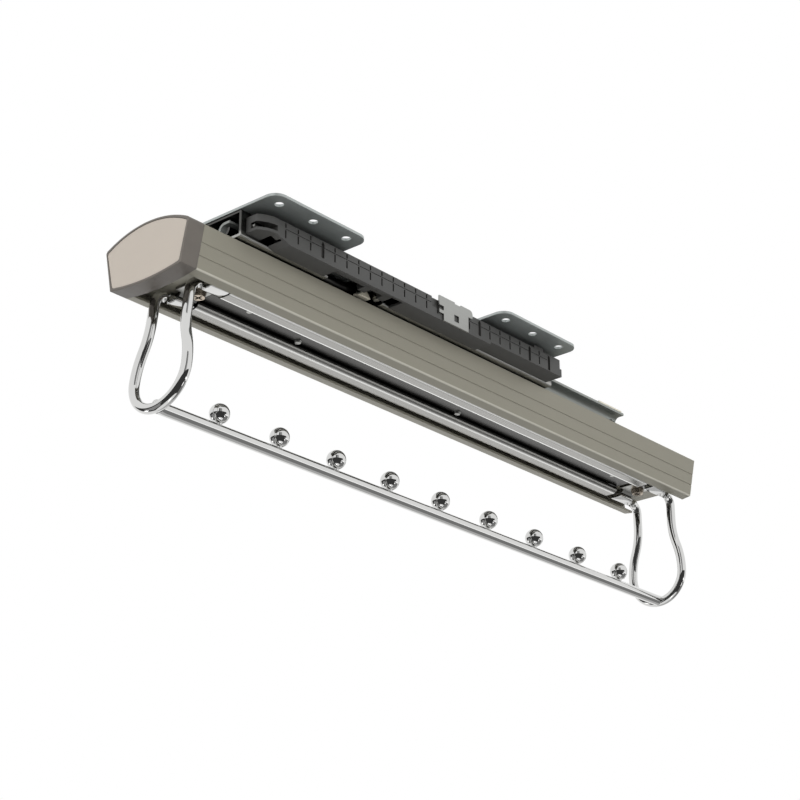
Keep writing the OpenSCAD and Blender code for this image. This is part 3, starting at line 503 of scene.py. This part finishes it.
def flattened_end():
    """Stations along the end that the saddle clamps, and through the neck to round wire."""
    half_wide, half_thick, square = PADDLE
    end, start = LEG_REACH + SADDLE_HALF, LEG_REACH - SADDLE_HALF - FIT_GAP
    stations = []
    for inset, less in END_ROUNDING:
        place = Vector((end - inset, LEG_HALF, 0))
        stations.append((place, FORWARD, UP, half_wide - less, half_thick - less, square))
    for i in range(NECK_STEPS + 1):
        t = i / NECK_STEPS
        eased = t * t * (3 - 2 * t)
        place = Vector((start - 2 * half_thick * t, LEG_HALF, 0))
        stations.append((
            place, FORWARD, UP,
            half_wide + (WIRE_R - half_wide) * eased,
            half_thick + (WIRE_R - half_thick) * eased,
            square + (1 - square) * eased,
        ))
    return stations


def leg_bend(lean):
    """Stations round the bend from the flattened end down into the leg."""
    stations = []
    for i in range(1, BEND_STEPS + 1):
        a = (math.pi / 2 - lean) * i / BEND_STEPS
        along = Vector((-math.cos(a), 0, -math.sin(a)))
        place = Vector((BEND_R * (1 - math.sin(a)), LEG_HALF, -BEND_R * (1 - math.cos(a))))
        stations.append((place, along, along.cross(SIDEWAYS), WIRE_R, WIRE_R, 1))
    return stations


def leg_to_bottom(lean):
    """Stations down the leg, out through the flare and round to the loop's lowest point."""
    down = Vector((-math.sin(lean), 0, -math.cos(lean)))
    normal = down.cross(SIDEWAYS)
    heel = Vector((BEND_R * (1 - math.cos(lean)), 0, -BEND_R * (1 - math.sin(lean))))
    straight = STRAIGHT + (LOOP_DROP + BEND_R * math.sin(lean)) / math.cos(lean) - LOOP_DROP
    wide = straight + FLARE
    stations = []

    def add(y, drop, dy, ddrop):
        place = heel + SIDEWAYS * y + down * drop
        along = SIDEWAYS * dy + down * ddrop
        stations.append((place, along, normal, WIRE_R, WIRE_R, 1))

    for i in range(FLARE_STEPS + 1):
        a = FLARE_ANGLE * i / FLARE_STEPS
        out, drop = FLARE_R * (1 - math.cos(a)), FLARE_R * math.sin(a)
        add(LEG_HALF + out, straight + drop, math.sin(a), math.cos(a))
    for i in range(FLARE_STEPS - 1, -1, -1):
        a = FLARE_ANGLE * i / FLARE_STEPS
        out, drop = FLARE_R * (1 - math.cos(a)), FLARE_R * math.sin(a)
        add(LOOP_R - out, wide - drop, math.sin(a), math.cos(a))
    for i in range(1, BOTTOM_STEPS + 1):
        a = math.pi / 2 * i / BOTTOM_STEPS
        add(LOOP_R * math.cos(a), wide + LOOP_R * math.sin(a), -math.sin(a), math.cos(a))
    return stations


def wire_loop(name, lean, x, mirrored, node):
    """A loop with two legs. mirrored turns its flattened ends to the front of the rail."""
    half = sweep(flattened_end() + leg_bend(lean) + leg_to_bottom(lean), WIRE_SIDES)
    other = [[Vector((p.x, -p.y, p.z)) for p in ring] for ring in reversed(half[:-1])]
    sign = -1 if mirrored else 1
    rings = [
        [Vector((x + sign * p.x, p.y, WIRE_Z + p.z)) for p in ring] for ring in half + other
    ]
    if not mirrored:
        rings = [list(reversed(ring)) for ring in rings]
    piece = skin(name, rings, CHROME)
    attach(piece, "carriage")
    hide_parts(node)


# Hanging rod, in millimetres
ROD_R, ROD_Z = 3.35, -106.9
CUT_R, CUT_Z = 3.05, -107.7  # the round cut in each end, which follows the loop's wire
ROD_ENDS = (-55.44, 381.5)
ROD_STATIONS = range(-40, 371, 10)
WELD_DRAW = ((0.0, 0.22), (0.35, 0.1), (0.9, 0.0), (4.0, 0.0))  # run from the end, more radius
ROD_SIDES = 64


def saddle_cut_rod():
    """Hanging rod, its ends cut to the loops' wire and drawn out a little to the weld."""
    front, rear = ROD_ENDS
    spots = [(front, 1, run, more) for run, more in WELD_DRAW]
    spots += [(x, 0, 0.0, 0.0) for x in ROD_STATIONS]
    spots += [(rear, -1, run, more) for run, more in reversed(WELD_DRAW)]
    rings = []
    for x, sign, run, more in spots:
        ring = []
        for k in range(ROD_SIDES):
            turn = math.tau * k / ROD_SIDES
            y, z = (ROD_R + more) * math.cos(turn), ROD_Z + (ROD_R + more) * math.sin(turn)
            depth = math.sqrt(max(0.0, CUT_R ** 2 - (z - CUT_Z) ** 2))
            ring.append(Vector((x + sign * (depth + run), y, z)))
        rings.append(ring)
    piece = skin("hanging_rod_tube", rings, CHROME)
    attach(piece, "carriage")
    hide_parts("hanging_rod")


# Tension spring, in millimetres
COIL_MIDDLE = Vector((0, -41.3, -11.8))
COIL_R = 2.0
COIL_WIRE_R = 0.48
COIL_TURNS = 52
COIL_STEPS = 14
COIL_SIDES = 8


def spring_coil():
    """Tension spring with close windings and a tail to its post."""
    front, rear, tail = 73.3, 143.3, 144.5
    count = COIL_TURNS * COIL_STEPS
    rise = (rear - front) / COIL_TURNS / math.tau
    stations = []
    for i in range(count + 1):
        a = math.tau * i / COIL_STEPS
        x = front + COIL_WIRE_R + (rear - front - 2 * COIL_WIRE_R) * i / count
        out = Vector((0, math.cos(a), math.sin(a)))
        along = Vector((rise, -math.sin(a) * COIL_R, math.cos(a) * COIL_R)).normalized()
        place = COIL_MIDDLE + Vector((x, 0, 0)) + out * COIL_R
        stations.append((place, along, out, COIL_WIRE_R, COIL_WIRE_R, 1))
    for x, share in ((rear + 0.1, 0.55), (rear + 0.5, 0.15), (tail - 0.4, 0.0), (tail, 0.0)):
        place = COIL_MIDDLE + Vector((x, COIL_R * share, 0))
        stations.append((place, -FORWARD, SIDEWAYS, COIL_WIRE_R, COIL_WIRE_R, 1))
    piece = skin("catch_spring_coil", sweep(stations, COIL_SIDES), ZINC)
    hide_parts("catch_spring")
    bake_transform(piece)


# Studio, in metres
MIDDLE = Vector((0.16, 0.0, -0.05))
FLOOR_PLACE = (0.15, 0, -1.25)
FLOOR_HALF = 40.0
FLOOR_NEAR, FLOOR_FAR = 0.5, 1.2  # the floor's shadow shows within these of its middle
FLOOR_LIFT = 0.72  # how far the near floor is lifted towards white
CARD_STEPS = 24


def compass(turn, rise):
    """Direction by its turn about the vertical and its rise above the horizon."""
    return Vector(
        (math.cos(turn) * math.cos(rise), math.sin(turn) * math.cos(rise), math.sin(rise))
    )


def along_rail(turn, spread):
    """Direction by its turn about the rail's axis and its spread from that axis."""
    return Vector(
        (math.cos(spread), math.cos(turn) * math.sin(spread), math.sin(turn) * math.sin(spread))
    )


# Name, place, target, width, height, power
LAMPS = (
    ("key", (-1.0, -1.9, -0.05), (0.15, 0, -0.03), 1.2, 0.9, 30),
    ("front", (-1.9, 0.1, 0.1), (0, 0, -0.03), 0.8, 1.0, 14),
    ("top", (0.3, 0.5, 1.5), (0.15, 0, 0), 1.4, 1.4, 16),
)

# Name, level, direction, the two ranges of its angles in degrees, distance
CARDS = (
    ("dark_room", 0.05, compass, (-255, -60), (-56, 8), 2.6),
    ("dark_gap", 0.05, compass, (-144, -134), (8, 40), 2.6),
    ("grey_gap", 0.35, compass, (-134, -112), (8, 40), 2.6),
    ("grey_table", 0.24, along_rail, (203, 262), (20, 75), 2.5),
    ("pale_table", 0.55, along_rail, (262, 310), (20, 75), 2.5),
    ("strip_light", 1.6, along_rail, (192, 198), (20, 75), 2.5),
    ("grey_side", 0.32, compass, (124, 158), (-44, -6), 2.5),
    ("low_light", 2.5, compass, (-150, -120), (-82, -66), 2.4),
    ("left_light", 2.5, compass, (108, 121), (-30, -19), 2.4),
    ("right_light", 2.0, compass, (-74, -62), (-35, -25), 2.4),
)


def add_lamp(name, place, target, width, height, power):
    data = bpy.data.lights.new(name, "AREA")
    data.shape = "RECTANGLE"
    data.size = width
    data.size_y = height
    data.energy = power
    lamp = bpy.data.objects.new(name, data)
    bpy.context.scene.collection.objects.link(lamp)
    lamp.location = place
    aim = Vector(target) - Vector(place)
    lamp.rotation_euler = aim.to_track_quat("-Z", "Y").to_euler()
    lamp.visible_camera = False
    lamp.visible_glossy = False


def seen_directly(graph):
    """1 for rays from the camera, and for those that metal and glass send out."""
    path = graph.add("ShaderNodeLightPath").outputs
    shown = graph.math("MAXIMUM", path["Is Camera Ray"], path["Is Glossy Ray"])
    return graph.math("MAXIMUM", shown, path["Is Transmission Ray"])


def add_world():
    """A white background for the camera and for what metal reflects, and a plain fill."""
    world = bpy.data.worlds.new("studio")
    bpy.context.scene.world = world
    world.use_nodes = True
    graph = Graph(world.node_tree)
    plain = graph.add("ShaderNodeBackground", {"Color": WHITE, "Strength": 0.55})
    white = graph.add("ShaderNodeBackground", {"Color": WHITE, "Strength": 1.0})
    inputs = {0: seen_directly(graph), 1: plain.outputs[0], 2: white.outputs[0]}
    seen = graph.add("ShaderNodeMixShader", inputs)
    graph.add("ShaderNodeOutputWorld", {"Surface": seen.outputs[0]})


def floor_finish():
    """Pale, and lifted towards white for the camera, wholly so at a distance."""
    finish, graph = new_material("floor")
    tone = graph.mix(
        graph.noise(EVEN_SCALE, 3.0), colour(0.78, 0.78, 0.78), colour(0.82, 0.82, 0.82)
    )
    pale = graph.add("ShaderNodeBsdfPrincipled", {"Base Color": tone, "Roughness": 0.8})
    white = graph.add("ShaderNodeEmission", {"Color": WHITE, "Strength": 1.0})
    length = graph.add("ShaderNodeVectorMath", {0: graph.coords()}, operation="LENGTH")
    share = graph.span(length.outputs["Value"], FLOOR_NEAR, FLOOR_FAR, FLOOR_LIFT, 1.0)
    lift = graph.math("MULTIPLY", seen_directly(graph), share)
    inputs = {0: lift, 1: pale.outputs[0], 2: white.outputs[0]}
    both = graph.add("ShaderNodeMixShader", inputs)
    graph.add("ShaderNodeOutputMaterial", {"Surface": both.outputs[0]})
    return finish


def glow(name, level):
    made, graph = new_material(name)
    light = graph.add("ShaderNodeEmission", {"Color": WHITE, "Strength": level})
    graph.add("ShaderNodeOutputMaterial", {"Surface": light.outputs[0]})
    return made


def flat_stage(name, points, faces, finish):
    mesh = bpy.data.meshes.new(name)
    mesh.from_pydata(points, [], faces)
    mesh.materials.append(finish)
    piece = bpy.data.objects.new(name, mesh)
    bpy.context.scene.collection.objects.link(piece)
    return piece


def add_floor():
    """A wide floor. Polished metal doesn't reflect it, but the cards beneath it and the world."""
    half = FLOOR_HALF
    corners = [(-half, -half, 0), (half, -half, 0), (half, half, 0), (-half, half, 0)]
    floor = flat_stage("floor", corners, [(0, 1, 2, 3)], floor_finish())
    floor.location = FLOOR_PLACE
    floor.visible_glossy = False


def studio_card(name, level, point, turns, rises, distance):
    """A curved card far out, which only polished metal reflects.

    point gives a direction for two angles, which run over turns and rises.
    """
    points, faces = [], []
    for i in range(CARD_STEPS + 1):
        for j in range(CARD_STEPS + 1):
            a = math.radians(turns[0] + (turns[1] - turns[0]) * i / CARD_STEPS)
            b = math.radians(rises[0] + (rises[1] - rises[0]) * j / CARD_STEPS)
            points.append(MIDDLE + point(a, b) * distance)
    row = CARD_STEPS + 1
    for i in range(CARD_STEPS):
        for j in range(CARD_STEPS):
            k = i * row + j
            faces.append((k, k + 1, k + row + 1, k + row))
    card = flat_stage(name, points, faces, glow(name, level))
    card.visible_camera = False
    card.visible_diffuse = False
    card.visible_shadow = False
    card.visible_transmission = False


dress_nodes()
wire_loop("front_loop_wire", FRONT_LEAN, FRONT_LEG_X, False, "front_loop")
wire_loop("rear_loop_wire", 0.0, REAR_LEG_X, True, "rear_loop")
saddle_cut_rod()
spring_coil()

add_camera()
add_world()
add_floor()
for lamp in LAMPS:
    add_lamp(*lamp)
for card in CARDS:
    studio_card(*card)

bpy.context.scene.view_settings.view_transform = "Standard"
